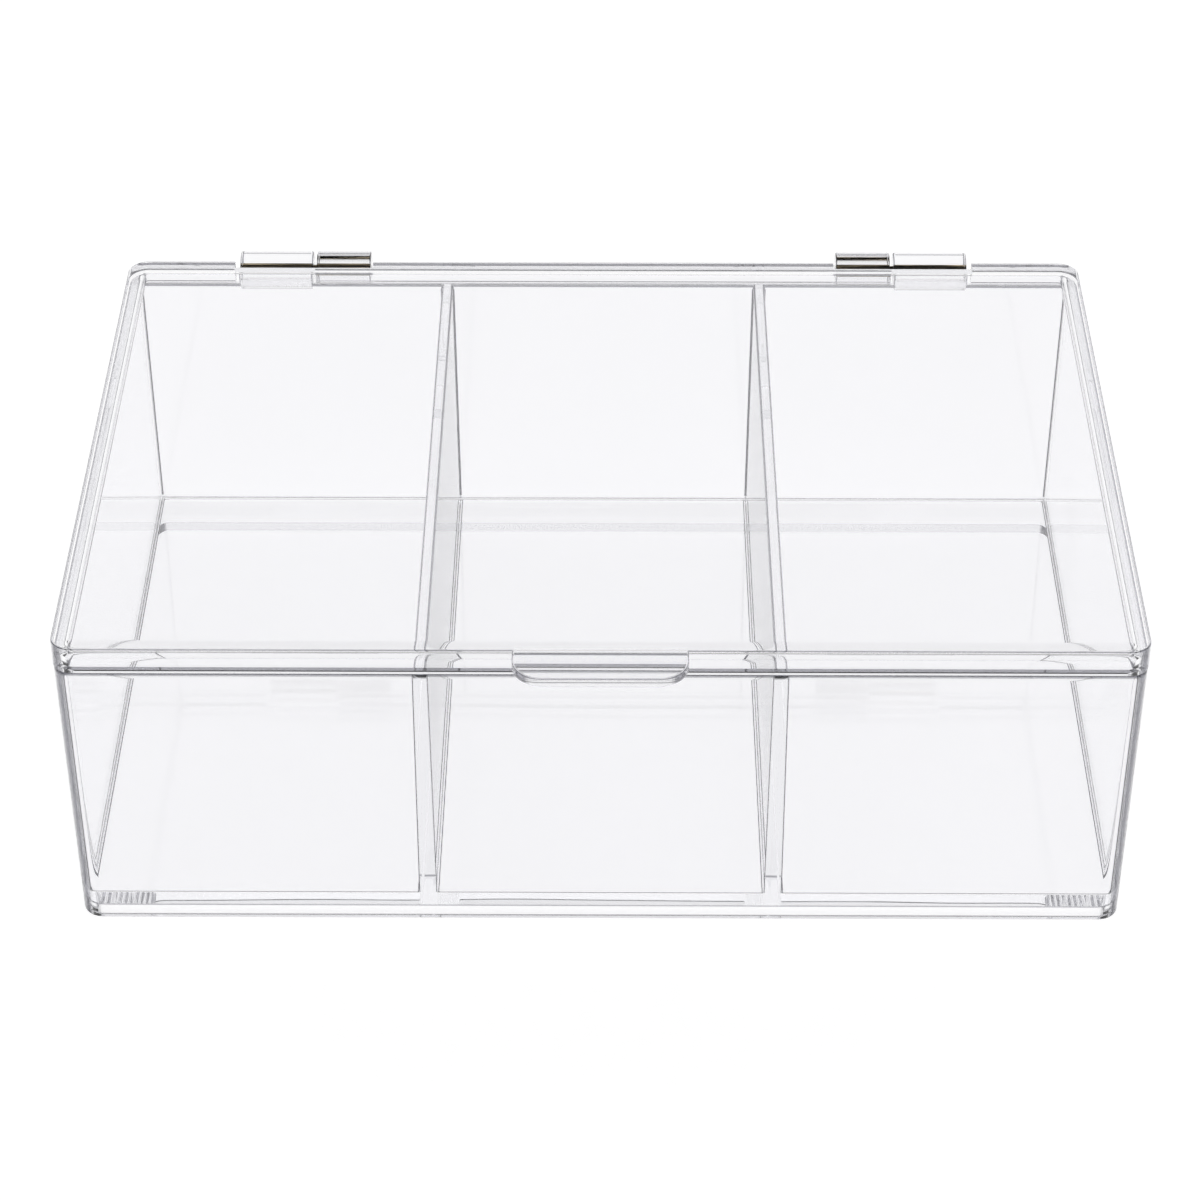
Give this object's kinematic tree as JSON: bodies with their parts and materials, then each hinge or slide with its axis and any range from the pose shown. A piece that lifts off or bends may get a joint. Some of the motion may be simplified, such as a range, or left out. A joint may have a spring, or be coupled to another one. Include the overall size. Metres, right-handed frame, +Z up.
{
  "type": "hinged storage box",
  "caption": "Clear moulded storage box with side-by-side compartments and a shallow hinged lid that lifts by a thumb tab and turns on steel pins at the back.",
  "frame": {"origin": "middle of the box's footprint on the table, under the foot ring", "axes": "+X to the right along the width, +Y from the thumb tab to the hinges at the back, +Z up"},
  "size_m": [0.25, 0.1863, 0.082],
  "materials": {
    "clear_acrylic": "clear polished moulding",
    "pin_steel": "drawn wire, darkened"
  },
  "bodies": {
    "base": {"base_tray": "clear_acrylic", "hinge_pin_left": "pin_steel", "hinge_pin_right": "pin_steel"},
    "lid": {"lid_cover": "clear_acrylic"}
  },
  "joints": [
    {"name": "lid_hinge", "type": "hinge", "parent": "base", "child": "lid", "pos_m": [0, 0.0882, 0.077], "axis": [-1, 0, 0], "range_deg": [0, 105]}
  ]
}
